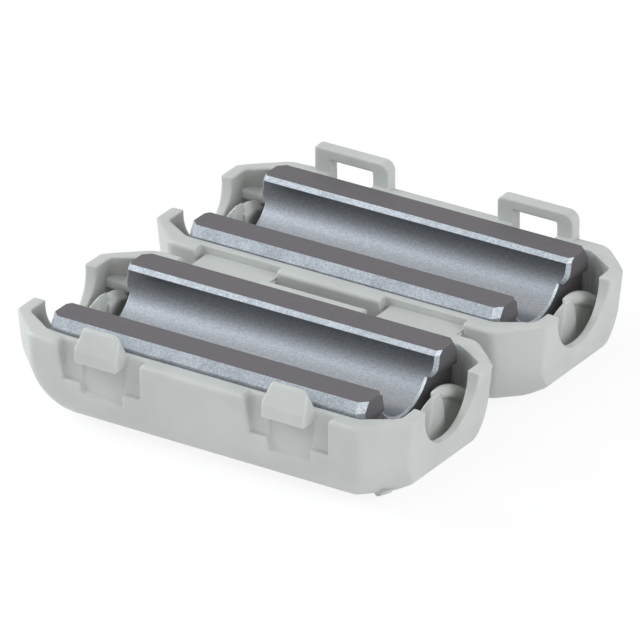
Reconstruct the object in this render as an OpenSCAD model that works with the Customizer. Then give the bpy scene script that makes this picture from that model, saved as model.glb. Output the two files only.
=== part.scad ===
/* [Core] */
// Length of each half core over its legs
core_length = 20; // [16:0.5:26]
// Width of each half core across its sides
core_width = 9.9; // [9:0.1:12]
// Height of each half core from its underside to the ground mating face
core_height = 4.9; // [4.5:0.1:6]
// Radius of the half-round groove that takes the cable
groove_radius = 2.6; // [1.8:0.1:3]
// How far the core stands above the rim while the clip is open
core_proud = 0.55; // [0.3:0.05:0.8]
// Radius along the lower corners of the core
core_corner = 2.6; // [1.5:0.1:3]
// Depth below the mating face at which the core ends are set back
step_depth = 1.35; // [1:0.05:1.8]
// Set-back of the core ends below that depth
step_length = 0.45; // [0.2:0.05:0.8]

/* [Case] */
// Wall along the long sides, at the rim
side_wall = 1.13; // [1:0.01:1.5]
// Wall across the ends, at the rim
end_wall = 0.65; // [0.5:0.05:1]
// Wall under the core
floor_wall = 0.6; // [0.5:0.05:1]
// Room between each core end and the end wall
end_room = 1.95; // [1.8:0.05:2.6]
// Clearance beside the core
core_gap = 0.12; // [0.08:0.01:0.2]
// Clearance under the core when the clip is shut
sink_gap = 0.1; // [0.06:0.01:0.2]
// Radius of the half-round cable opening in each end wall
port_radius = 2.6; // [1.8:0.1:3]
// Length that each 45 degree corner takes off the side and the end
corner_cut = 2.2; // [1.7:0.1:3.2]
// Radius along the lower long edges of the case
belly_radius = 3.4; // [2.8:0.1:3.6]
// Slope of the long walls, in degrees
side_draft = 8; // [4:0.5:9]
// Slope of the end walls, in degrees
end_draft = 6; // [3:0.5:7]
// Rise of the underside towards each end, in degrees
end_rise = 30; // [24:1:34]
// Length of each rising stretch of the underside
rise_run = 2.85; // [2.4:0.05:3.2]
// Radius between an end wall and the rising underside
knee_radius = 1.2; // [0.6:0.1:1.4]

/* [Latch] */
// Distance between the two latches, and between the two hinge webs
latch_pitch = 12; // [11:0.1:13]
// How far the hook noses and the loops stand out past the long walls, at the rim
latch_reach = 0.18; // [0.1:0.02:0.3]
// Width of each hook at its nose
hook_width = 2.7; // [2:0.1:3.4]
// Inset of each side of the hook at its top
hook_taper = 0.25; // [0.1:0.05:0.4]
// How far the hook rises above the rim
hook_rise = 1; // [0.7:0.05:1.1]
// How far the back of the hook leans out from rim to top
hook_lean = 0.45; // [0.2:0.05:0.5]
// Depth of the hook's catching edge below the rim
hook_drop = 0.9; // [0.8:0.05:1.1]
// Depth of the recess floor below the rim
recess_depth = 2; // [1.9:0.05:2.3]
// Slope of the recess's back, in degrees
recess_draft = 5; // [3:0.1:6]
// Thickness of each loop
loop_thick = 0.82; // [0.7:0.02:0.9]
// Width of each upright of the loop
loop_leg = 1.02; // [0.8:0.02:1.3]
// Height of the loop's cross bar
loop_bar = 0.65; // [0.5:0.05:0.9]
// Clearance between the hook and the window of the loop
latch_gap = 0.05; // [0.03:0.01:0.08]
// Gap left between the two rims when the clip is shut
shut_gap = 0.04; // [0.02:0.01:0.06]
// Clearance between the loop and the sides of the recess
recess_gap = 0.25; // [0.15:0.05:0.4]
// Clearance between the loop and the back of the recess
loop_back_gap = 0.05; // [0.03:0.01:0.1]

/* [Hinge] */
// Gap between the two halves at the rims
hinge_gap = 1.1; // [0.9:0.05:1.4]
// Width of each hinge web
web_width = 4.9; // [3.5:0.05:5.5]
// Thickness of the hinge webs
web_thick = 0.25; // [0.2:0.01:0.35]
// Depth of the webs' upper face below the rims
web_drop = 0.45; // [0.35:0.01:0.55]
// Clearance between a web and each side of its pocket
web_side_gap = 0.2; // [0.1:0.05:0.4]
// Wall left between the core and each web pocket
pocket_back = 0.5; // [0.4:0.02:0.6]

/* [Cable fingers] */
// Thickness of the cable fingers along the cable
finger_thick = 0.9; // [0.5:0.05:1]
// Height of the finger tops below the mating face
finger_drop = 1.55; // [1.4:0.05:2]
// Clearance between the fingers and the end wall
finger_gap = 0.75; // [0.6:0.05:0.9]
// Slit between the two fingers of a pair
finger_slit = 0.12; // [0.08:0.01:0.2]
// Height of the spring ledges that carry the core
ledge_height = 0.85; // [0.6:0.05:1]
// Width of the spring ledges
ledge_width = 1.2; // [1:0.05:1.3]
// Clearance between a ledge and the core that it carries
ledge_gap = 0.04; // [0.02:0.01:0.1]

/* [Hidden] */

case_grey = "#c2c7c3";
ferrite_grey = "#6d686b";
eps = 0.01;
over = 3;
$fn = 96;

// heights above the surface that the clip lies on
rim_z = floor_wall + sink_gap + core_height;
mate_z = rim_z + core_proud;
core_z = mate_z - core_height;

// half sizes of one half shell, outside and inside, at the rim
in_w = core_width / 2 + core_gap;
out_w = in_w + side_wall;
in_l = core_length / 2 + end_room;
out_l = in_l + end_wall;
out_diag = (out_l + out_w - corner_cut) / sqrt(2);
in_diag = out_diag - (side_wall + end_wall) / 2;
in_belly = core_corner + core_gap;
flat_l = out_l - rise_run;

// distances out from the centre of a half shell: the latch front, the back of a loop, the back of a recess
latch_u = out_w + latch_reach;
loop_u = latch_u - loop_thick;
window_drop = hook_drop + latch_gap + shut_gap;
loop_rise = window_drop + loop_bar;
recess_u = loop_u - loop_back_gap - loop_rise * tan(recess_draft);
loop_w = hook_width + 2 * latch_gap + 2 * loop_leg;
half_pitch = out_w + hinge_gap / 2;
latch_x = latch_pitch / 2;

// outline of a tub across its length: a flat floor, two round lower corners and drafted walls
module tub_section(half_w, floor_z, radius, draft, above) {
    side_c = half_w - radius / cos(draft) + (radius - (rim_z - floor_z)) * tan(draft);
    side_t = [side_c + radius * cos(draft), floor_z + radius * (1 - sin(draft))];
    top_w = half_w + above * tan(draft);
    polygon([
        [-side_c, floor_z], [side_c, floor_z], side_t, [top_w, rim_z + above],
        [-top_w, rim_z + above], [-side_t[0], side_t[1]],
    ]);
    for (s = [-1, 1])
        translate([s * side_c, floor_z + radius]) circle(r = radius);
}

// outline of a tub along its length: a flat floor that rises to drafted end walls with a round knee
module tub_profile(half_l, floor_l, floor_z, above) {
    slope = tan(end_rise);
    lean = tan(end_draft);
    knee_x = (half_l - (rim_z - floor_z) * lean - floor_l * slope * lean) / (1 - slope * lean);
    knee = [knee_x, floor_z + (knee_x - floor_l) * slope];
    wall_n = [cos(end_draft), -sin(end_draft)];
    rise_n = [sin(end_rise), -cos(end_rise)];
    centre = knee - knee_radius * (wall_n + rise_n) / (1 + wall_n * rise_n);
    top_l = half_l + above * lean;
    for (s = [0, 1])
        mirror([s, 0])
            difference() {
                polygon([[-eps, floor_z], [floor_l, floor_z], knee, [top_l, rim_z + above], [-eps, rim_z + above]]);
                difference() {
                    polygon([centre, centre + knee_radius * rise_n, knee * 2 - centre, centre + knee_radius * wall_n]);
                    translate(centre) circle(r = knee_radius);
                }
            }
}

// a boat-shaped solid: the section along X, the profile along Y, and the section again across the corners
module tub(half_w, half_l, diag, floor_l, floor_z, radius, draft, above = 0) {
    reach = 2 * half_l;
    intersection() {
        rotate([90, 0, 90]) translate([0, 0, -reach])
            linear_extrude(2 * reach) tub_section(half_w, floor_z, radius, draft, above);
        rotate([90, 0, 0]) translate([0, 0, -reach])
            linear_extrude(2 * reach) tub_profile(half_l, floor_l, floor_z, above);
        for_corner(45) translate([0, 0, -reach])
            linear_extrude(2 * reach) tub_section(diag, floor_z, radius, draft, above);
        for_corner(-45) translate([0, 0, -reach])
            linear_extrude(2 * reach) tub_section(diag, floor_z, radius, draft, above);
    }
}

module for_corner(turn) {
    rotate([0, 0, turn]) rotate([90, 0, 90]) children();
}

module outside() {
    tub(out_w, out_l, out_diag, flat_l, 0, belly_radius, side_draft);
}

module inside() {
    tub(in_w, in_l, in_diag, flat_l - end_wall / 4, floor_wall, in_belly, 0, over);
}

// a prism along X from an outline in (outward distance, height), centred on a latch
module along_x(x, width) {
    translate([x, 0, 0]) rotate([90, 0, 90]) translate([0, 0, -width / 2]) linear_extrude(width) children();
}

// one half shell, with its hinge side towards +Y
module half_shell() {
    difference() {
        outside();
        inside();
        for (s = [-1, 1])
            translate([s * out_l, 0, rim_z]) rotate([0, 90, 0])
                cylinder(r = port_radius, h = 2 * end_room, center = true);
        for (s = [-1, 1])
            translate([s * latch_x - web_width / 2 - web_side_gap, in_w + pocket_back, rim_z - web_drop])
                cube([web_width + 2 * web_side_gap, out_w, over]);
    }
}

// the recess around a hook, and the narrower slot below it that forms the underside of the hook
module hook_recess(x) {
    lean = tan(recess_draft);
    low = 1.65 * recess_depth;
    deeper = 0.1;
    top_w = loop_w / 2 + recess_gap;
    low_w = top_w - recess_depth * lean;
    intersection() {
        along_x(x, 2 * top_w)
            polygon([
                [-recess_u + eps * lean, rim_z + eps], [-recess_u - recess_depth * lean, rim_z - recess_depth],
                [-out_w - over, rim_z - recess_depth], [-out_w - over, rim_z + eps],
            ]);
        translate([x, 0, rim_z]) rotate([90, 0, 0])
            linear_extrude(out_w + over)
                polygon([[-top_w, eps], [top_w, eps], [low_w, -recess_depth], [-low_w, -recess_depth]]);
    }
    along_x(x, hook_width)
        polygon([
            [-recess_u - hook_drop * lean + deeper, rim_z - hook_drop],
            [-recess_u - low * lean + deeper, rim_z - low],
            [-out_w - over, rim_z - low], [-out_w - over, rim_z - hook_drop],
        ]);
}

// a hook whose back leans out from the rim and whose front is a quarter ellipse over an upright nose
module hook(x) {
    back_u = in_w + hook_lean;
    foot = rim_z - hook_drop;
    shoulder = rim_z - hook_drop / 3;
    crest = rim_z + hook_rise;
    top_w = hook_width / 2 - hook_taper;
    intersection() {
        along_x(x, hook_width)
            polygon(concat(
                [[-in_w - eps, foot], [-in_w - eps, rim_z]],
                [for (t = [90 : -15 : 0])
                    [-back_u - (latch_u - back_u) * cos(t), shoulder + (crest - shoulder) * sin(t)]],
                [[-latch_u, foot]]
            ));
        translate([x, 0, rim_z]) rotate([90, 0, 0])
            linear_extrude(out_w + over)
                polygon([
                    [-hook_width / 2, -hook_drop], [hook_width / 2, -hook_drop], [hook_width / 2, 0],
                    [top_w, hook_rise], [-top_w, hook_rise], [-hook_width / 2, 0],
                ]);
    }
}

module case_hook_half() {
    color(case_grey) translate([0, -half_pitch, 0]) {
        difference() {
            half_shell();
            for (s = [-1, 1]) hook_recess(s * latch_x);
        }
        for (s = [-1, 1]) hook(s * latch_x);
    }
}

// the pad outside the wall that carries a loop, fading into the wall below
module loop_pad(x) {
    pad_depth = 2.4 * loop_rise;
    along_x(x, loop_w)
        polygon([
            [out_w - side_wall / 2, rim_z], [latch_u, rim_z], [latch_u, rim_z - loop_rise / 2],
            [out_w - side_wall / 2, rim_z - pad_depth],
        ]);
}

module case_loop_half() {
    color(case_grey) translate([0, half_pitch, 0])
        difference() {
            union() {
                mirror([0, 1, 0]) half_shell();
                for (s = [-1, 1])
                    difference() {
                        loop_pad(s * latch_x);
                        inside();
                    }
            }
            for (s = [-1, 1])
                translate([s * latch_x - hook_width / 2 - latch_gap, in_w - eps, rim_z - hook_rise - latch_gap])
                    cube([hook_width + 2 * latch_gap, over, over]);
        }
}

// one latch loop: two uprights and a cross bar, with the outer corners rounded
module latch_loop(x) {
    color(case_grey) translate([x, half_pitch + latch_u, rim_z]) rotate([90, 0, 0])
        linear_extrude(loop_thick) difference() {
            loop_outline();
            translate([-hook_width / 2 - latch_gap, -eps]) square([hook_width + 2 * latch_gap, window_drop + eps]);
        }
}

module loop_outline() {
    round = loop_bar * 0.8;
    for (s = [-1, 1])
        translate([s * (loop_w / 2 - round), loop_rise - round]) circle(r = round);
    translate([-loop_w / 2, 0]) square([loop_w, loop_rise - round]);
    translate([-loop_w / 2 + round, 0]) square([loop_w - 2 * round, loop_rise]);
}

// one hinge web, reaching from wall to wall just below the rims
module hinge_web(x) {
    lean = tan(side_draft);
    top = rim_z - web_drop;
    half_top = hinge_gap / 2 + web_drop * lean;
    half_low = half_top + web_thick * lean;
    color(case_grey) along_x(x, web_width)
        polygon([[-half_top, top], [half_top, top], [half_low, top - web_thick], [-half_low, top - web_thick]]);
}

// outline of the core across its length, with its groove and its chamfered mating edges
module core_section() {
    half_w = core_width / 2;
    edge_w = 0.37;
    edge_h = 0.55;
    lip = 0.22;
    difference() {
        union() {
            polygon([
                [-half_w, core_z + core_corner], [half_w, core_z + core_corner], [half_w, mate_z - edge_h],
                [half_w - edge_w, mate_z], [-half_w + edge_w, mate_z], [-half_w, mate_z - edge_h],
            ]);
            translate([core_corner - half_w, core_z]) square([core_width - 2 * core_corner, core_height / 2]);
            intersection() {
                for (s = [-1, 1])
                    translate([s * (half_w - core_corner), core_z + core_corner]) circle(r = core_corner);
                translate([-half_w, core_z]) square([core_width, core_corner]);
            }
        }
        translate([0, mate_z]) circle(r = groove_radius);
        polygon([
            [-groove_radius - lip, mate_z + eps], [groove_radius + lip, mate_z + eps],
            [groove_radius + lip, mate_z], [groove_radius, mate_z - lip],
            [-groove_radius, mate_z - lip], [-groove_radius - lip, mate_z],
        ]);
    }
}

// one half core: the ends are set back below the step, and chamfered at the groove and outside
module half_core() {
    half_l = core_length / 2;
    half_w = core_width / 2;
    end_x = 0.26;
    groove_y = 0.42;
    side_y = 0.55;
    difference() {
        rotate([90, 0, 90]) translate([0, 0, -half_l]) linear_extrude(core_length) core_section();
        for (s = [0, 1]) mirror([s, 0, 0]) {
            translate([half_l - step_length, -core_width, core_z - eps])
                cube([core_length, 2 * core_width, core_height - step_depth + eps]);
            translate([half_l - end_x, 0, mate_z]) rotate([0, 90, 0])
                cylinder(r1 = groove_radius, r2 = groove_radius + groove_y, h = end_x);
            intersection() {
                translate([half_l - step_length - end_x, 0, mate_z]) rotate([0, 90, 0])
                    cylinder(r1 = groove_radius, r2 = groove_radius + groove_y, h = end_x);
                translate([0, -core_width, core_z]) cube([core_length, 2 * core_width, core_height - step_depth]);
            }
            for (t = [0, 1]) mirror([0, t, 0])
                translate([0, 0, core_z - eps]) linear_extrude(core_height + 2 * eps)
                    polygon([
                        [half_l - end_x, half_w + eps], [half_l + eps, half_w - side_y],
                        [half_l + eps, half_w + eps],
                    ]);
        }
    }
}

module core_hook_half() {
    color(ferrite_grey) translate([0, -half_pitch, 0]) half_core();
}

module core_loop_half() {
    color(ferrite_grey) translate([0, half_pitch, 0]) half_core();
}

// a blade across the cable, from y0 to y1, standing on the floor, round at y1 and falling off towards y0
module finger(y0, y1, top, fall) {
    round = groove_radius / 5;
    translate([in_l - finger_gap - finger_thick, 0, 0]) rotate([90, 0, 90]) linear_extrude(finger_thick) {
        translate([y1 - round, top - round]) circle(r = round);
        polygon([[y0, 0], [y1, 0], [y1, top - round], [y1 - round, top], [y0, top - fall]]);
    }
}

// the two fingers at each end, side by side across the cable
module cable_fingers() {
    top = mate_z - finger_drop;
    meet = groove_radius * 0.7;
    intersection() {
        for (s = [0, 1]) mirror([s, 0, 0]) {
            finger(-groove_radius / 2, meet, top, groove_radius * 0.25);
            finger(meet + finger_slit, groove_radius * 1.38, top - 0.16, groove_radius * 0.1);
        }
        inside();
    }
}

module cable_fingers_hook_half() {
    color(case_grey) translate([0, -half_pitch, 0]) cable_fingers();
}

module cable_fingers_loop_half() {
    color(case_grey) translate([0, half_pitch, 0]) cable_fingers();
}

// the four spring ledges in the corners, under the overhanging legs of the core
module core_springs() {
    top = mate_z - step_depth - ledge_gap;
    round = ledge_height / 2;
    start = core_length / 2 - step_length + core_gap;
    intersection() {
        for (s = [0, 1], t = [0, 1]) mirror([s, 0, 0]) mirror([0, t, 0])
            translate([start, 0, 0]) rotate([90, 0, 90]) linear_extrude(end_room) {
                translate([in_w - ledge_width + round, top - round]) circle(r = round);
                translate([in_w - ledge_width + round, top - ledge_height]) square([ledge_width, ledge_height]);
            }
        inside();
    }
}

module core_springs_hook_half() {
    color(case_grey) translate([0, -half_pitch, 0]) core_springs();
}

module core_springs_loop_half() {
    color(case_grey) translate([0, half_pitch, 0]) core_springs();
}

case_hook_half();
case_loop_half();
latch_loop(-latch_x);  // latch_loop_left
latch_loop(latch_x);  // latch_loop_right
hinge_web(-latch_x);  // hinge_web_left
hinge_web(latch_x);  // hinge_web_right
core_hook_half();
core_loop_half();
cable_fingers_hook_half();
cable_fingers_loop_half();
core_springs_hook_half();
core_springs_loop_half();
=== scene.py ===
"""Looks of a clip on ferrite bead, lying open: a pale nylon clip with a half core of ferrite in each shell.

The moulded shells have no edge that isn't rounded, and their walls, hooks, loops and fingers melt into
each other. No surface of two parameters gives that, so each shell is a solid written as one distance
formula, worked out with numpy for a whole block of points, and its skin is meshed and drawn onto the exact
zero of the formula. The half cores, hinge webs and spring ledges are grids of two parameters. Lengths in
formulas are millimetres.
"""

import math

import bmesh
import bpy
import numpy as np
from mathutils import Matrix, Vector


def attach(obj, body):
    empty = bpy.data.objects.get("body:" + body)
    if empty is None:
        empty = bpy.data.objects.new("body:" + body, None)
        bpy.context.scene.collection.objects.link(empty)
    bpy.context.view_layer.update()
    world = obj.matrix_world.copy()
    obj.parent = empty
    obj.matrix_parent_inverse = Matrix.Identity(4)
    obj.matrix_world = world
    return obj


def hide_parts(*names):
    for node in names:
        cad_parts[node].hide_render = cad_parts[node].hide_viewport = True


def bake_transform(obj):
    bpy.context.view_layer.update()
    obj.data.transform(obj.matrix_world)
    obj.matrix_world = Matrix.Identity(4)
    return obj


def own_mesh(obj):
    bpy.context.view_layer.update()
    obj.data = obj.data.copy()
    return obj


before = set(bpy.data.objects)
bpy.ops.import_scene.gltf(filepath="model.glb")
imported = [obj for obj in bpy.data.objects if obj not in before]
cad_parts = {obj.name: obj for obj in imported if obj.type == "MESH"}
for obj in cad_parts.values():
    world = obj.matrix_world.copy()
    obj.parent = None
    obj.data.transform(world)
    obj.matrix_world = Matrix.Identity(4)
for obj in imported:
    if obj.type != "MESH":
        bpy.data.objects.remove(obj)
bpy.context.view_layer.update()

MM = 0.001

# ---------------------------------------------------------------- sizes, mm
RIM = 5.6  # height of both rims over the surface the clip lies on
PITCH = 6.75  # from the hinge line to the middle of each shell
MATE = 6.15  # height of the ground mating faces while open
LATCH = 5.97  # from mid length to the middle of each latch and each hinge web
WIDTH, LENGTH = 6.2, 12.6  # half width and half length of a shell at its rim
HOLLOW_WIDTH, HOLLOW_LENGTH = 5.07, 11.83  # half width and half length of its hollow at the rim
LEAST_WALL = 0.4  # between the hollow and the outside
LATCH_FACE = 6.38  # from the middle of a shell to the outer faces of its hooks or loops
LOOP_WIDTH = 2.42  # half width of a loop and of the pad below it
PORT_LEFT, PORT_RIGHT = 2.42, 2.66  # radii of the round openings in the end walls
POCKET_WIDTH = 2.65  # half width of the pockets for the hinge webs
CORE_LENGTH, RING_LENGTH = 10.0, 9.55  # half lengths of a half core's legs and of the ring below them
CORE_WIDTH, CORE_DEPTH = 4.95, 4.9  # half width and depth of a half core
BORE, CORE_CORNER = 2.6, 2.6  # radii of its bore and of its lower corners
WEB = 0.27  # thickness of the hinge webs


# ---------------------------------------------------------------- distance formulas
def both(a, b, r=0.0, dot=0.0):
    """The solid inside a and inside b, with the edge between their faces rounded to r.
    dot is the cosine between the two outward normals. Near the edge the distance is the one
    from the edge line of the two faces moved in by r, less r."""
    p, q = a + r, b + r
    if np.ndim(r) == 0 and r == 0:
        return np.maximum(p, q)
    edge = (q > dot * p) & (p > dot * q)
    across = np.sqrt(np.maximum(p * p + q * q - 2 * dot * p * q, 0) / (1 - dot * dot))
    return np.where(edge, across, np.maximum(p, q)) - r


def either(a, b, r=0.0, dot=0.0):
    """The solid inside a or inside b, with the inner corner between their faces filled to r."""
    return -both(-a, -b, r, dot)


def less(a, b, r=0.0, dot=0.0):
    """The solid a with b cut away, its new edges rounded to r."""
    return both(a, -b, r, dot)


def slope(degrees):
    """Cosine, sine and tangent of an angle in degrees."""
    a = math.radians(degrees)
    return math.cos(a), math.sin(a), math.tan(a)


def slab(v, low, high):
    """The slab between two heights along v."""
    return np.maximum(low - v, v - high)


def tub(ax, au, z, wide, long, turn, reach, floor, flat, belly, turn_belly,
        side_draft, end_draft, corner, edge):
    """A boat-shaped solid. Long walls and end walls lean by their drafts. The corner walls, turned by turn
    degrees, stand at reach from the middle and lean too. The lower edges of the long walls are arcs of
    radius belly, those of the corner walls arcs of radius turn_belly, and the ends rise at 30 degrees over a
    knee. flat is where that slope would meet the floor. The corner walls meet the long walls in arcs of
    radius corner, and the end walls in arcs of radius edge."""
    h = z - RIM
    cs, ss, ts = slope(side_draft)
    ce, se, te = slope(end_draft)
    cr, sr, _ = slope(30)
    ct, st, _ = slope(turn)
    bottom = floor - z
    side = (au - wide - h * ts) * cs
    end = (ax - long - h * te) * ce
    rise = (ax - flat) * sr - (z - floor) * cr
    turned = both((ax * st + au * ct - reach - h * ts * 0.6) * cs, bottom, turn_belly, 0.6 * ss)
    fade = np.clip((z - floor) / 1.5, 0.02, 1)
    long_side = both(side, bottom, belly, ss)
    ends = both(both(end, rise, 0.7, ce * sr + se * cr), bottom, 2.0, cr)
    return both(both(long_side, turned, corner * fade, ct), ends, edge * fade, st * 0.5)


def shell(x, y, z, half):
    """One half of the moulding. half is -1 for the half with hooks and 1 for the half with loops.
    u is the distance outwards from the middle of the half, towards the latches, and dy the same along +Y.
    h is the height over the rim, px the distance from the middle of a latch along the cable, and s the same
    along +X. The half is a boat cut off at the rim, with a smaller boat, two openings, pockets and recesses
    cut out of it and the latches and fingers joined on."""
    u = half * y - PITCH
    dy = y - half * PITCH
    h = z - RIM
    ax, au = np.abs(x), np.abs(u)
    px = np.abs(ax - LATCH)
    s = x - np.sign(x) * LATCH

    solid = tub(
        ax, au, z, wide=WIDTH, long=LENGTH, turn=45, reach=11.738, floor=0.0, flat=9.75, belly=3.2,
        turn_belly=np.where(x < 0, 4.3, 3.8), side_draft=8, end_draft=6,
        corner=np.where(dy > 0, 1.3, 0.9), edge=0.12)
    at_end = np.clip((ax - 10.5) / 1.5, 0, 1)
    # the loop half's outer rim rises a little, and the hook half's is lower by as much, so that they shut
    rise_out = 0.13 * np.clip((u - 2.6) / 2.4, 0, 1) * np.clip((x + 11.5) / 3, 0.3, 1)
    rim = h - half * rise_out
    body = both(solid, rim, 0.26 - 0.17 * at_end, -0.14)
    if half > 0:
        body = either(body, loop_pad(body, rim, px, u, h), 0.1)

    hollow = tub(
        ax, au, z, wide=HOLLOW_WIDTH, long=HOLLOW_LENGTH, turn=32, reach=9.55, floor=0.6, flat=9.58,
        belly=2.72, turn_belly=3.1, side_draft=0, end_draft=0, corner=0.15, edge=0.25)
    hollow = np.maximum(hollow, solid + LEAST_WALL)
    body = less(body, hollow, 0.06)

    # the round opening in each end wall, its outer edge softer
    port = np.sqrt(u * u + (h + 0.12) ** 2) - np.where(x < 0, PORT_LEFT, PORT_RIGHT)
    body = less(body, np.maximum(port, 11.0 - ax), np.clip(0.05 + 0.15 * (ax - 12.1), 0.05, 0.12))

    # pockets behind the hinge webs, and a deep slot at the left end of each
    pocket = both(px - POCKET_WIDTH, np.maximum(u + 5.57, -0.68 - h), 0.06)
    body = less(body, pocket, 0.06)
    slot = both(slab(s, -2.62, -2.2), np.maximum(u + 5.55, -1.7 - h), 0.06)
    body = less(body, slot, 0.04)

    if half < 0:
        body = less(body, wide_recess(px, u, h), 0.2)
        body = less(body, deep_recess(x, px, s, u, h), 0.1)
        body = either(body, hook(px, s, u, h), 0.04)
        body = either(body, gate_nub(body, hollow, x, dy, z), 0.03)
    else:
        body = either(body, loop(x, px, s, u, h), 0.08)
        window = both(px - 1.42, slab(h, -1.06, 0.99), 0.1)
        body = less(body, np.maximum(window, 5.0 - u), 0.06)

    # nothing stands out past the latches
    body = np.maximum(body, u - (LATCH_FACE - 0.001))
    return either(body, fingers(x, dy, z, hollow), 0.1)


def loop_pad(body, rim, px, u, h):
    """The pad below a loop, on the outside of the wall. Its face leans in by 0.24 in 0.97. Downwards it
    stands less and less proud of the wall, and it ends where the wall turns under."""
    pad = both(px - LOOP_WIDTH, u - LATCH_FACE, 0.15)
    pad = both(pad, np.maximum(rim, (u - LATCH_FACE) * 0.97 - (h + 0.8) * 0.24), 0.06)
    pad = both(pad, body - np.clip(0.3 + 0.15 * (h + 2.0), -0.3, 0.9), 0.06)
    return np.maximum(pad, 4.6 - u)


def wide_recess(px, u, h):
    """The wide, shallow recess round a hook, its walls leaning by 5 degrees."""
    c, _, t = slope(5)
    recess = both((px - 2.66 - h * t) * c, (5.366 - h * t - u) * c, 0.06)
    return both(recess, -2.35 - h, 0.06)


def deep_recess(x, px, s, u, h):
    """The narrow, deeper recess below a hook. Its floor slopes by 0.1 in 1 at the left hook."""
    recess = both(px - 1.35, 5.25 - 0.13 * (h + 0.6) - u, 0.08)
    floor = -3.2 + np.where(x < 0, 0.1 * (1.35 - s), 0.0)
    return both(recess, slab(h, floor, -0.6), 0.2)


def hook(px, s, u, h):
    """A hook: a back that leans by 0.25 in 1, a sloping front, a crease, an upright nose and a flat catch.
    It narrows upwards, and its right edge is rounder."""
    back = (5.33 + 0.25 * h - u) / math.hypot(1, 0.25)
    front = ((u - 6.36) * 1.15 + (h + 0.12) * 0.62) / math.hypot(1.15, 0.62)
    solid = both(u - LATCH_FACE, front, 0.08, 0.88)
    solid = both(solid, h - 1.0, 0.38, 0.5)
    solid = both(solid, back, 0.08)
    solid = both(solid, -0.9 - h, 0.05)
    sides = px - 1.36 + 0.25 * np.maximum(h, 0)
    return both(solid, sides, np.where(s > 0, np.clip(0.12 + 0.2 * h, 0.1, 0.3), 0.12))


def loop(x, px, s, u, h):
    """A loop, still without its window. Its corners towards -X are nearly square, the others round."""
    corner = np.where(s > 0, 0.6, np.where(x < 0, 0.1, 0.35))
    solid = both(px - LOOP_WIDTH, h - 1.64, corner)
    solid = both(solid, slab(u, 5.56, LATCH_FACE), 0.08)
    return np.maximum(solid, -0.6 - h)


def gate_nub(body, hollow, x, dy, z):
    """What the gate left low on the right front corner wall: a nub that stands 0.22 proud of the wall at its
    front edge and less along the corner, and ends 1.1 above the ground."""
    along = (x + dy) * 0.7071
    nub = both(slab(along, 4.66, 5.4), np.maximum(z - 1.1, body - 0.22 + 0.2 * (along - 4.66)), 0.12)
    return np.maximum(np.maximum(nub, 9.0 - x), np.maximum(0.3 - hollow, 0.08 - z))


def fingers(x, dy, z, hollow):
    """The two blades at each end that bend round a cable: a fin with a facet cut from it, and a blade with
    a bead along its top. The fin's top falls away towards the middle of the clip, and the bead's crest is
    an arc. At the left ends the bead is a flat band that slopes towards the core."""
    left = x < 0
    m = z - MATE
    # the fins of both ends face +X, and those of the left ends stand higher
    v = np.where(x > 0, x - 11.0, x + 10.45)
    n = m - 0.2 * left
    aside = dy - 0.12 * left
    facet = 0.556 * v - 0.808 * (aside - 0.454) + 0.198 * (n + 2.25)
    fall = 1.6 - aside
    top = (n + 1.46 - (0.7 + 0.2 * fall + 0.24 * fall * fall) * v) / 1.25
    far = (aside - 1.77 + 0.46 * np.maximum((n + 3.2) / 1.68, 0) ** 2) * 0.95
    fin = both(both(facet, far, 0.03, -0.5), top, 0.03)
    fin = both(fin, slab(v, -0.55, 0.0), 0.03)
    # the beaded blades are mirrored
    ax = np.abs(x)
    d = dy - 1.9
    crest = m + 1.64 - 0.05 * left + 0.02 * d + 0.16 * d * d
    size = np.clip(0.3 + 0.1 * (dy - 1.6), 0.28, 0.45)
    bead = (np.sqrt((ax - 10.5) ** 2 + (crest + size) ** 2) - size) * 0.95
    blade = np.maximum(np.abs(ax - 10.45) - 0.16, crest + size)
    band = both(np.abs(ax - 10.52) - 0.3, (crest + 0.75 * (10.82 - ax)) / 1.25, 0.05, -0.6)
    beaded = both(np.where(left, band, either(bead, blade, 0.06)), 1.42 - dy, np.where(left, 0.08, 0.2))
    beaded = both(beaded, dy - 4.6, 0.2)
    return np.maximum(np.minimum(fin, beaded), hollow - 0.15)


# ---------------------------------------------------------------- meshes
def mesh_object(name, points, faces, normals=None):
    """A mesh object from points in millimetres and faces as rows of point numbers."""
    mesh = bpy.data.meshes.new(name)
    mesh.from_pydata((np.asarray(points, float) * MM).tolist(), [], [list(f) for f in faces])
    mesh.validate()
    mesh.polygons.foreach_set("use_smooth", np.ones(len(mesh.polygons), bool))
    if normals is not None:
        mesh.normals_split_custom_set_from_vertices(normals.tolist())
    mesh.update()
    obj = bpy.data.objects.new(name, mesh)
    bpy.context.scene.collection.objects.link(obj)
    return obj


def gradient(distance, p, e=0.02):
    """Slope of the distance at points p, by central differences."""
    g = np.empty_like(p)
    for k in range(3):
        d = np.zeros(3)
        d[k] = e
        g[:, k] = (distance(*(p + d).T) - distance(*(p - d).T)) / (2 * e)
    return g


def graded(low, high, marks, fine, coarse):
    """Lattice lines from low to high: fine near the marks, and growing to coarse away from them.
    The lines lie at equal steps of the running sum of one over the wanted spacing."""
    s = np.linspace(low, high, 4001)
    away = np.abs(s[:, None] - np.array(marks)[None]).min(1)
    spacing = np.clip(fine + 0.3 * (away - 0.25), fine, coarse)
    total = np.concatenate([[0], np.cumsum(np.diff(s) / spacing[1:])])
    return np.interp(np.linspace(0, total[-1], int(total[-1]) + 1), total, s)


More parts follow.
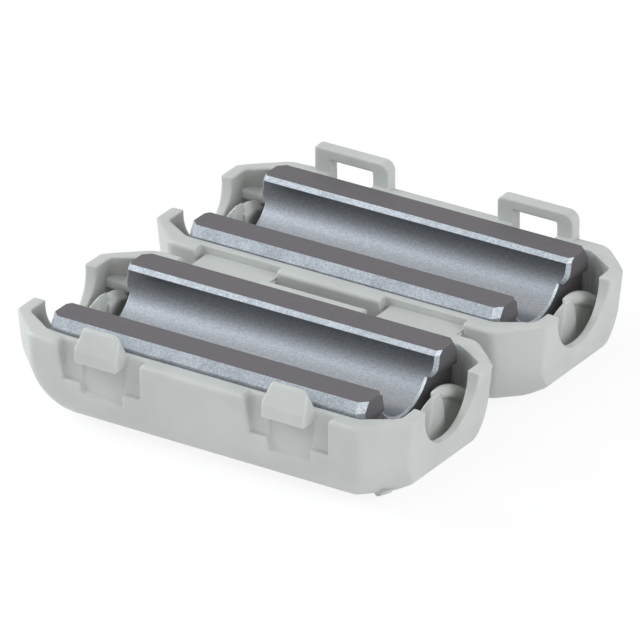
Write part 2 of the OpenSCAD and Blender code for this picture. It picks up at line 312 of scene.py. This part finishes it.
def skin(name, distance, axes):
    """The zero surface of a distance formula on a lattice with its own lines along each axis. Each lattice
    edge that the surface crosses gives a point and the slope there. Each cell with crossings gets the
    point that lies nearest to the flat faces through them, so edges come out straight, and each crossed
    edge a face of the four cells round it. Two Newton steps then draw the points onto the exact, rounded
    surface."""
    f = distance(*np.meshgrid(*axes, indexing="ij", sparse=True))
    inside = f < 0
    cells = np.array(f.shape) - 1
    found = []
    for k in range(3):
        i, j = (k + 1) % 3, (k + 2) % 3
        lead, tail = [slice(None)] * 3, [slice(None)] * 3
        lead[k], tail[k] = slice(0, -1), slice(1, None)
        at = np.argwhere(inside[tuple(lead)] != inside[tuple(tail)])
        at = at[(at[:, i] > 0) & (at[:, j] > 0) & (at[:, i] < cells[i]) & (at[:, j] < cells[j])]
        after = at.copy()
        after[:, k] += 1
        f0, f1 = f[tuple(at.T)], f[tuple(after.T)]
        point = np.stack([axes[m][at[:, m]] for m in range(3)], 1)
        point[:, k] += (axes[k][after[:, k]] - axes[k][at[:, k]]) * f0 / (f0 - f1)
        slope_at = gradient(distance, point)
        slope_at /= np.linalg.norm(slope_at, axis=1)[:, None]
        ring = []
        for di, dj in ((1, 1), (0, 1), (0, 0), (1, 0)):
            c = at.copy()
            c[:, i] -= di
            c[:, j] -= dj
            ring.append(np.ravel_multi_index(tuple(c.T), cells))
        found.append((f0 < 0, point, slope_at, np.stack(ring, 1)))
    used, number = np.unique(np.concatenate([r[3].ravel() for r in found]), return_inverse=True)
    number = number.ravel()
    quads, start = [], 0
    for row in found:
        row_number = number[start : start + row[3].size].reshape(-1, 4)
        start += row[3].size
        quads.append(np.where(row[0][:, None], row_number, row_number[:, ::-1]))
    point = np.concatenate([r[1] for r in found])
    normal = np.concatenate([r[2] for r in found])
    ring = number.reshape(-1, 4)
    # sums over each cell's crossings: of the points, of normal times normal, and of normal times height
    height = (normal * point).sum(1)
    columns = [np.ones(len(point)), *point.T]
    columns += [normal[:, a] * normal[:, b] for a in range(3) for b in range(3)]
    columns += [normal[:, a] * height for a in range(3)]
    sums = np.stack([np.bincount(ring.ravel(), np.repeat(v, 4), len(used)) for v in columns], 1)
    mean = sums[:, 1:4] / sums[:, :1]
    square = sums[:, 4:13].reshape(-1, 3, 3)
    right_side = sums[:, 13:16] - np.einsum("nij,nj->ni", square, mean)
    shift = np.linalg.solve(square + 0.08 * np.eye(3), right_side[..., None])[..., 0]
    index = np.stack(np.unravel_index(used, cells), 1)
    low = np.stack([axes[m][index[:, m]] for m in range(3)], 1)
    high = np.stack([axes[m][index[:, m] + 1] for m in range(3)], 1)
    points = np.clip(mean + shift, low, high)
    for _ in range(2):
        g = gradient(distance, points)
        pull = distance(*points.T) / np.maximum((g * g).sum(1), 0.25)
        points -= np.clip(pull, -0.05, 0.05)[:, None] * g
    normals = gradient(distance, points)
    normals /= np.maximum(np.linalg.norm(normals, axis=1), 1e-9)[:, None]
    return mesh_object(name, points, np.concatenate(quads), normals)


def grid_faces(rows, columns, wrap=False):
    """Faces of a grid of points, numbered row by row; wrap joins the last column to the first."""
    r = np.arange(rows - 1)[:, None] * columns
    c = np.arange(columns if wrap else columns - 1)[None]
    d = (c + 1) % columns
    return np.stack([r + c, r + d, r + columns + d, r + columns + c], -1).reshape(-1, 4)


def half_core(name, middle):
    """A half core, as a closed band carried along its section from one mating face to the other.
    Each station has an outer point and a bore point; the band runs along the outside, over the end
    chamfers, back along the bore, and over the other end. The legs are longer than the ring below the
    step. The bore's ends draw in by up to 0.3 towards the step, as the square of the way down the legs'
    lower half."""
    step_at = -1.35
    mating_half_width = 4.58  # the outer edges of the mating faces are chamfered
    mating_chamfer = 0.24  # along the bore's edges
    run_in_depth = 0.3
    stations = 9  # on each leg
    # outer outline, from the mating edge down to the middle of the underside
    arc = np.linspace(0, np.pi / 2, 25)
    side_z = np.concatenate([[0.0], np.linspace(-0.55, step_at, stations)])
    outer_leg = np.stack([np.where(side_z == 0, mating_half_width, CORE_WIDTH), side_z], 1)
    corner_y, corner_z = CORE_WIDTH - CORE_CORNER, CORE_CORNER - CORE_DEPTH
    outer_ring = np.concatenate([
        [[CORE_WIDTH, step_at]],
        np.stack([corner_y + CORE_CORNER * np.cos(arc), corner_z - CORE_CORNER * np.sin(arc)], 1),
        [[1.2, -CORE_DEPTH], [0.0, -CORE_DEPTH]],
    ])
    # the bore beside it
    from_edge, to_step = math.asin(mating_chamfer / BORE), math.asin(-step_at / BORE)
    turn_leg = np.linspace(from_edge, to_step, stations)
    turn_ring = np.linspace(to_step, np.pi / 2, len(outer_ring))
    bore_leg, bore_ring = [BORE * np.stack([np.cos(t), -np.sin(t)], 1) for t in (turn_leg, turn_ring)]
    outer = np.concatenate([outer_leg, outer_ring])
    bore = np.concatenate([[[BORE + mating_chamfer, 0.0]], bore_leg, bore_ring])
    leg = np.arange(len(outer)) < len(outer_leg)
    end = np.where(leg, CORE_LENGTH, RING_LENGTH)
    run_in = run_in_depth * np.clip((np.arange(stations) / (stations - 1) - 0.5) / 0.5, 0, 1) ** 2
    end_in = end - np.concatenate([[0.0], run_in, 0 * turn_ring])
    # chamfers of the ends: how far back along the core and how far across, outside and in the bore
    back_out, across_out = np.where(leg, 0.42, 0.2), np.where(leg, 0.4, 0.2)
    back_in, across_in = np.where(leg, 0.2, 0.12), np.where(leg, 0.26, 0.13)
    centre = np.stack([np.full(len(outer), corner_y), np.maximum(outer[:, 1], corner_z)], 1)
    inward = centre - outer
    inward[-2:] = [[0, 1], [0, 1]]
    inward /= np.linalg.norm(inward, axis=1)[:, None]
    outer_in = outer + across_out[:, None] * inward
    bore_in = bore * (1 + across_in / BORE)[:, None]
    bore_in[:, 1] = np.where(bore[:, 1] > -0.25, bore[:, 1], bore_in[:, 1])

    def mirrored(a):
        """The stations of one side, and then those of the other side backwards."""
        return np.concatenate([a, a[-2::-1] * ([-1, 1] if a.ndim == 2 else 1)])

    outer, bore, outer_in, bore_in = map(mirrored, (outer, bore, outer_in, bore_in))
    end, end_in, back_out, back_in = map(mirrored, (end, end_in, back_out, back_in))
    # the ring's own chamfer lines run on along the legs, so that both share their points at the step
    far_out, far_in = RING_LENGTH - 0.2 + 0 * end, RING_LENGTH - 0.12 + 0 * end
    ring = [
        (outer, -end + back_out), (outer, -far_out),
        (outer, far_out), (outer, end - back_out),
        (outer_in, end), (bore_in, end_in),
        (bore, end_in - back_in), (bore, far_in),
        (bore, -far_in), (bore, -end_in + back_in),
        (bore_in, -end_in), (outer_in, -end),
    ]
    points = np.stack([np.stack([x, middle + s[:, 0], MATE + s[:, 1]], 1) for s, x in ring], 1)
    rows, columns = points.shape[:2]
    faces = grid_faces(rows, columns, wrap=True).tolist()
    faces += [list(range(columns))[::-1], list(range((rows - 1) * columns, rows * columns))]
    obj = mesh_object(name, points.reshape(-1, 3), faces)
    # the outside is as fired (0), the mating and end faces are ground (1), and the bore is pressed (2)
    finish = np.zeros((rows - 1, columns), int)
    finish[:, [4, 10]] = 1
    finish[1:-1, 6:9] = 2
    obj.data.polygons.foreach_set("material_index", finish.ravel().tolist() + [1, 1])
    solid = bmesh.new()
    solid.from_mesh(obj.data)
    bmesh.ops.remove_doubles(solid, verts=solid.verts, dist=1e-7)
    solid.to_mesh(obj.data)
    solid.free()
    return obj


def hinge_web(name, x0):
    """A thin web between the shells, its upper face dipping by a parabola to 0.05 at mid span. Its outline
    across the span is carried along the cable's direction."""
    s = np.linspace(-1, 1, 41)
    y = 1.22 * s
    top = RIM - 0.45 - 0.05 * (1 - s ** 2)
    y_loop = np.concatenate([y, y[::-1]])
    z_loop = np.concatenate([top, (top - WEB)[::-1]])
    x = x0 + np.linspace(-2.27, 2.57, 25)
    points = np.stack(np.broadcast_arrays(x[:, None], y_loop[None], z_loop[None]), -1)
    rows, columns = points.shape[:2]
    faces = grid_faces(rows, columns, wrap=True).tolist()
    faces += [list(range(columns)), list(range((rows - 1) * columns, rows * columns))[::-1]]
    faces = [f[::-1] for f in faces]
    return mesh_object(name, points.reshape(-1, 3), faces)


def spring_ledges(name, half):
    """Two bars under the left end of a half core, each a rounded outline carried along the cable's
    direction into the corner wall. The outline is a squared ellipse: cosine and sine to a power below 1."""
    t = np.linspace(0, 2 * np.pi, 33)[:-1]
    squareness = 0.55
    cy = np.sign(np.cos(t)) * np.abs(np.cos(t)) ** squareness
    cz = np.sign(np.sin(t)) * np.abs(np.sin(t)) ** squareness
    x = np.array([-9.66, -9.68, -9.74, -9.86, -10.5, -11.2, -11.9])[:, None]
    grow = np.array([0.02, 0.55, 0.85, 1.0, 1.0, 1.0, 1.0])[:, None]
    points, faces = [], []
    for side in (-1, 1):
        y = half * PITCH + side * (3.9 + 0.5 * grow * cy)
        z = MATE - 1.93 + 0.33 * grow * cz
        bar = np.stack(np.broadcast_arrays(x, y, z), -1)
        rows, columns = bar.shape[:2]
        first = rows * columns * len(points)
        ring = grid_faces(rows, columns, wrap=True)
        ends = [list(range(columns)), list(range((rows - 1) * columns, rows * columns))[::-1]]
        if side < 0:
            ring = ring[:, ::-1]
            ends = [f[::-1] for f in ends]
        faces += (ring + first).tolist() + [[v + first for v in f] for f in ends]
        points.append(bar.reshape(-1, 3))
    return mesh_object(name, np.concatenate(points), faces)


# ---------------------------------------------------------------- materials
def paint(code, alpha=1.0):
    """Linear colour of an sRGB hex value."""
    c = np.array([int(code[i : i + 2], 16) for i in (1, 3, 5)]) / 255
    c = np.where(c <= 0.04045, c / 12.92, ((c + 0.055) / 1.055) ** 2.4)
    return (*c.tolist(), alpha)


def add(tree, kind, settings=None, **links):
    """One node. settings are its properties and inputs. links name the inputs that other nodes feed:
    Base_Color is the input called Base Color, and in0 is the first input."""
    node = tree.nodes.new("ShaderNode" + kind)
    for key, value in (settings or {}).items():
        if isinstance(key, int) or key in node.inputs:
            node.inputs[key].default_value = value
        else:
            setattr(node, key, value)
    for key, output in links.items():
        numbered = key.startswith("in") and key[2:].isdigit()
        socket = node.inputs[int(key[2:]) if numbered else key.replace("_", " ")]
        tree.links.new(output, socket)
    return node


def new_material(name):
    """An empty node material and its tree."""
    m = bpy.data.materials.new(name)
    m.use_nodes = True
    m.node_tree.nodes.clear()
    return m, m.node_tree


def moulded_nylon():
    """Pale grey nylon 6, injection moulded: a satin skin, faint flow clouds, and light that soaks in and
    warms the creases."""
    m, t = new_material("moulded_nylon")
    where = add(t, "TexCoord").outputs["Object"]
    cloud = add(t, "TexNoise", {"Scale": 1 / (3.5 * MM), "Detail": 3.0}, Vector=where)
    tone = add(t, "ValToRGB", Fac=cloud.outputs["Fac"])
    tone.color_ramp.elements[0].color = paint("#C8C9C5")
    tone.color_ramp.elements[1].color = paint("#D0D1CD")
    tone.color_ramp.elements[0].position = 0.35
    tone.color_ramp.elements[1].position = 0.65
    grain = add(t, "TexNoise", {"Scale": 1 / (0.12 * MM), "Detail": 2.0}, Vector=where)
    bump = add(t, "Bump", {"Strength": 0.08, "Distance": 0.02 * MM}, Height=grain.outputs["Fac"])
    satin = {
        "Roughness": 0.4,
        "IOR": 1.53,
        "Subsurface Weight": 0.25,
        "Subsurface Radius": (1.0, 0.9, 0.75),
        "Subsurface Scale": 0.7 * MM,
    }
    shader = add(
        t, "BsdfPrincipled", satin, Base_Color=tone.outputs["Color"], Normal=bump.outputs["Normal"])
    add(t, "OutputMaterial", Surface=shader.outputs["BSDF"])
    return m


def sintered_ferrite():
    """The outside of a nickel-zinc ferrite core as it leaves the kiln: a rough blue-grey skin of fine
    crystals that sparkle. The crystals are a few hundredths of a millimetre across, and are drawn at 0.075
    so that they show."""
    m, t = new_material("sintered_ferrite")
    where = add(t, "TexCoord").outputs["Object"]
    cloud = add(t, "TexNoise", {"Scale": 1 / (1.4 * MM), "Detail": 4.0}, Vector=where)
    crystal = add(t, "TexVoronoi", {"Scale": 1 / (0.075 * MM)}, Vector=where)
    tone = add(t, "ValToRGB", Fac=cloud.outputs["Fac"])
    tone.color_ramp.elements[0].color = paint("#ACB1B7")
    tone.color_ramp.elements[1].color = paint("#BDC2C8")
    tone.color_ramp.elements[0].position = 0.3
    tone.color_ramp.elements[1].position = 0.7
    grey = add(t, "RGBToBW", Color=crystal.outputs["Color"])
    mixed = add(
        t, "MixRGB", {"blend_type": "OVERLAY", "Fac": 0.28},
        Color1=tone.outputs["Color"], Color2=grey.outputs["Val"])
    bump = add(t, "Bump", {"Strength": 0.2, "Distance": 0.02 * MM}, Height=crystal.outputs["Distance"])
    shader = add(
        t, "BsdfPrincipled", {"Roughness": 0.42, "Metallic": 0.5},
        Base_Color=mixed.outputs["Color"], Normal=bump.outputs["Normal"])
    add(t, "OutputMaterial", Surface=shader.outputs["BSDF"])
    return m


def pressed_ferrite():
    """The bore, rubbed smooth by the pins of the press: a dark steel-like satin that mirrors what it
    faces, with short streaks along the cable's direction. Its colour is painted darker towards the mating
    faces as painted shade on the bore's upper wall."""
    m, t = new_material("pressed_ferrite")
    where = add(t, "TexCoord").outputs["Object"]
    along = add(t, "Mapping", {"Scale": (0.6, 1.0, 1.0)}, Vector=where)
    streak = add(t, "TexNoise", {"Scale": 1 / (0.09 * MM), "Detail": 2.0}, Vector=along.outputs["Vector"])
    tone = add(t, "ValToRGB", Fac=streak.outputs["Fac"])
    tone.color_ramp.elements[0].color = paint("#92959A")
    tone.color_ramp.elements[1].color = paint("#A6A9AE")
    tone.color_ramp.elements[0].position = 0.3
    tone.color_ramp.elements[1].position = 0.7
    height = add(t, "SeparateXYZ", Vector=where)
    # painted shade: the bore's colour is multiplied down to 0.45 towards the mating faces, where its upper
    # wall gets little light
    painted_shade_range = {
        "From Min": (MATE - 1.3) * MM, "To Min": 1.0,
        "From Max": (MATE - 0.2) * MM, "To Max": 0.45,
    }
    painted_shade = add(t, "MapRange", painted_shade_range, Value=height.outputs["Z"])
    mixed = add(
        t, "MixRGB", {"blend_type": "MULTIPLY", "Fac": 1.0},
        Color1=tone.outputs["Color"], Color2=painted_shade.outputs["Result"])
    bump = add(t, "Bump", {"Strength": 0.1, "Distance": 0.01 * MM}, Height=streak.outputs["Fac"])
    shader = add(
        t, "BsdfPrincipled", {"Roughness": 0.36, "Metallic": 1.0},
        Base_Color=mixed.outputs["Color"], Normal=bump.outputs["Normal"])
    add(t, "OutputMaterial", Surface=shader.outputs["BSDF"])
    return m


def ground_ferrite():
    """The mating faces and the end faces, ground flat: a warmer, matt brown-grey with fine grinding lines
    along the core."""
    m, t = new_material("ground_ferrite")
    where = add(t, "TexCoord").outputs["Object"]
    along = add(t, "Mapping", {"Scale": (0.25, 1.0, 1.0)}, Vector=where)
    streak = add(t, "TexNoise", {"Scale": 1 / (0.1 * MM), "Detail": 2.0}, Vector=along.outputs["Vector"])
    tone = add(t, "ValToRGB", Fac=streak.outputs["Fac"])
    tone.color_ramp.elements[0].color = paint("#5E5A5C")
    tone.color_ramp.elements[1].color = paint("#6F6B6E")
    shader = add(
        t, "BsdfPrincipled", {"Roughness": 0.6, "IOR": 1.6, "Specular IOR Level": 0.3},
        Base_Color=tone.outputs["Color"])
    add(t, "OutputMaterial", Surface=shader.outputs["BSDF"])
    return m


def white_paper():
    """Seamless white paper. The camera and reflections see it mostly as plain white, with a faint
    shadow."""
    m, t = new_material("white_paper")
    path = add(t, "LightPath").outputs
    looked_at = add(
        t, "Math", {"operation": "MAXIMUM"}, in0=path["Is Camera Ray"], in1=path["Is Glossy Ray"])
    seen = add(
        t, "Math", {"operation": "MAXIMUM"}, in0=looked_at.outputs[0], in1=path["Is Transmission Ray"])
    share = add(t, "Math", {"operation": "MULTIPLY", 1: 0.82}, in0=seen.outputs[0])
    paper = add(t, "BsdfDiffuse", {"Color": paint("#F7F7F7")})
    light = add(t, "Emission", {"Color": (1, 1, 1, 1), "Strength": 1.06})
    sheet = add(t, "MixShader", in0=share.outputs[0], in1=paper.outputs[0], in2=light.outputs[0])
    add(t, "OutputMaterial", Surface=sheet.outputs[0])
    return m


# ---------------------------------------------------------------- pieces
nylon = moulded_nylon()
sintered, ground, pressed = sintered_ferrite(), ground_ferrite(), pressed_ferrite()
HALVES = {"hook": -1, "loop": 1}
REPLACED = {
    "hook": ("case_hook_half", "cable_fingers_hook_half"),
    "loop": ("case_loop_half", "latch_loop_left", "latch_loop_right", "cable_fingers_loop_half"),
}
# where the shells have edges: along the cable, outwards from the middle of a half, and in height
MARKS_X = [s * v for s in (-1, 1) for v in (3.35, 4.6, 7.35, 8.6, 10.2, 10.9, 11.6, 12.2, 12.6)]
MARKS_U = [-6.2, -5.6, -5.1, -3.0, -2.2, 2.2, 3.0, 5.1, 5.6, 6.2]
MARKS_Z = [0.6, 3.6, 4.3, 5.0, 5.6, 6.5, 7.2]
FINE, COARSE = 0.09, 0.3  # spacing of the shells' lattice near those edges and away from them

for word, half in HALVES.items():
    mid = half * PITCH
    lattice = [
        graded(-12.9, 12.9, MARKS_X, FINE, COARSE),
        mid + half * graded(-6.7, 6.7, MARKS_U, FINE, COARSE)[::half],
        graded(-0.2, 7.5, MARKS_Z, FINE, COARSE),
    ]
    case = skin(f"moulded_{word}_half", lambda x, y, z: shell(x, y, z, half), lattice)
    case.data.materials.append(nylon)
    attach(case, f"{word}_half")
    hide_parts(*REPLACED[word])

    core = half_core(f"ferrite_{word}_half", mid)
    for material in (sintered, ground, pressed):
        core.data.materials.append(material)
    bevel = core.modifiers.new("worn_edges", "BEVEL")
    bevel.width = 0.04 * MM
    bevel.segments = 2
    bevel.limit_method = "ANGLE"
    bevel.angle_limit = math.radians(22)
    bevel.harden_normals = True
    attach(core, f"core_{word}")
    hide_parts(f"core_{word}_half")

    ledges = spring_ledges(f"spring_ledges_{word}_half", half)
    ledges.data.materials.append(nylon)
    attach(ledges, f"{word}_half")
    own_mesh(ledges)
    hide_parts(f"core_springs_{word}_half")

for word, side in (("left", -1), ("right", 1)):
    web = hinge_web(f"hinge_web_{word}_skin", side * LATCH)
    web.data.materials.append(nylon)
    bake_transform(web)
    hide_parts(f"hinge_web_{word}")


# ---------------------------------------------------------------- stage
FLOOR = 600.0  # half width of the paper that the clip lies on
BOX = 160  # width of each soft box

sheet_corners = np.array([[-1, -1, 0], [1, -1, 0], [1, 1, 0], [-1, 1, 0]]) * FLOOR
floor = mesh_object("floor", sheet_corners, [[0, 1, 2, 3]])
floor.data.materials.append(white_paper())


def studio_room():
    """The light of the room. The camera sees it plain white, and it lights things at 0.44 of that.
    Reflections show the white paper behind and the lamps above, and a dimmer room in front."""
    room = bpy.data.worlds.new("studio")
    room.use_nodes = True
    t = room.node_tree
    t.nodes.clear()
    path = add(t, "LightPath").outputs
    seen = add(
        t, "Math", {"operation": "MAXIMUM"}, in0=path["Is Camera Ray"], in1=path["Is Transmission Ray"])
    lit = add(t, "MapRange", {"To Min": 0.44, "To Max": 1.0}, Value=seen.outputs[0])
    to_front = add(
        t, "VectorMath", {"operation": "DOT_PRODUCT", 1: (-0.54, -0.84, 0.0)},
        in0=add(t, "TexCoord").outputs["Generated"])
    dim_in_front = {"From Min": 0.1, "From Max": 0.95, "To Min": 1.0, "To Max": 0.3}
    mirrored = add(t, "MapRange", dim_in_front, Value=to_front.outputs["Value"])
    strength = add(
        t, "MapRange", Value=path["Is Glossy Ray"], To_Min=lit.outputs[0], To_Max=mirrored.outputs[0])
    sky = add(t, "Background", {"Color": (1, 1, 1, 1)}, Strength=strength.outputs[0])
    add(t, "OutputWorld", Surface=sky.outputs[0])
    return room


def soft_box(name, place, watts):
    """A square area light at a place in millimetres, aimed at the origin. Its colour is a little cool."""
    data = bpy.data.lights.new(name, "AREA")
    data.size = BOX * MM
    data.energy = watts
    data.color = (0.93, 1.0, 1.06)
    obj = bpy.data.objects.new(name, data)
    bpy.context.scene.collection.objects.link(obj)
    obj.location = np.array(place) * MM
    obj.rotation_euler = Vector(-np.array(place, float)).to_track_quat("-Z", "Y").to_euler()


bpy.context.scene.world = studio_room()
soft_box("left_box", (-220, -60, 140), 0.36)
soft_box("right_box", (235, -40, 110), 0.25)
soft_box("front_box", (-20, -180, 200), 0.07)

# camera: a long lens, as close-ups of small parts are taken
AZIMUTH, ELEVATION = math.radians(32.74), math.radians(26.14)
DISTANCE = 467.47  # from the middle of the clip
SHIFT_RIGHT, SHIFT_UP = -0.09, -2.15  # of the camera, square to the way it looks
VIEW_WIDTH = 34.632035  # what it takes in across at that distance
SENSOR = 36  # width of its sensor

level = np.array([math.sin(AZIMUTH), -math.cos(AZIMUTH), 0])
right = np.array([math.cos(AZIMUTH), math.sin(AZIMUTH), 0])
back = level * math.cos(ELEVATION) + np.array([0, 0, math.sin(ELEVATION)])
up = np.cross(back, right)
eye = back * DISTANCE + right * SHIFT_RIGHT + up * SHIFT_UP + np.array([0, 0, MATE])
camera_data = bpy.data.cameras.new("camera")
camera_data.sensor_width = SENSOR
camera_data.lens = SENSOR * DISTANCE / VIEW_WIDTH
camera_data.clip_start = 0.01
camera_data.clip_end = 10
camera = bpy.data.objects.new("camera", camera_data)
bpy.context.scene.collection.objects.link(camera)
turn = Matrix(np.stack([right, up, back], 1).tolist())
camera.matrix_world = Matrix.Translation(Vector(eye * MM)) @ turn.to_4x4()
bpy.context.scene.camera = camera
bpy.context.scene.view_settings.view_transform = "Standard"
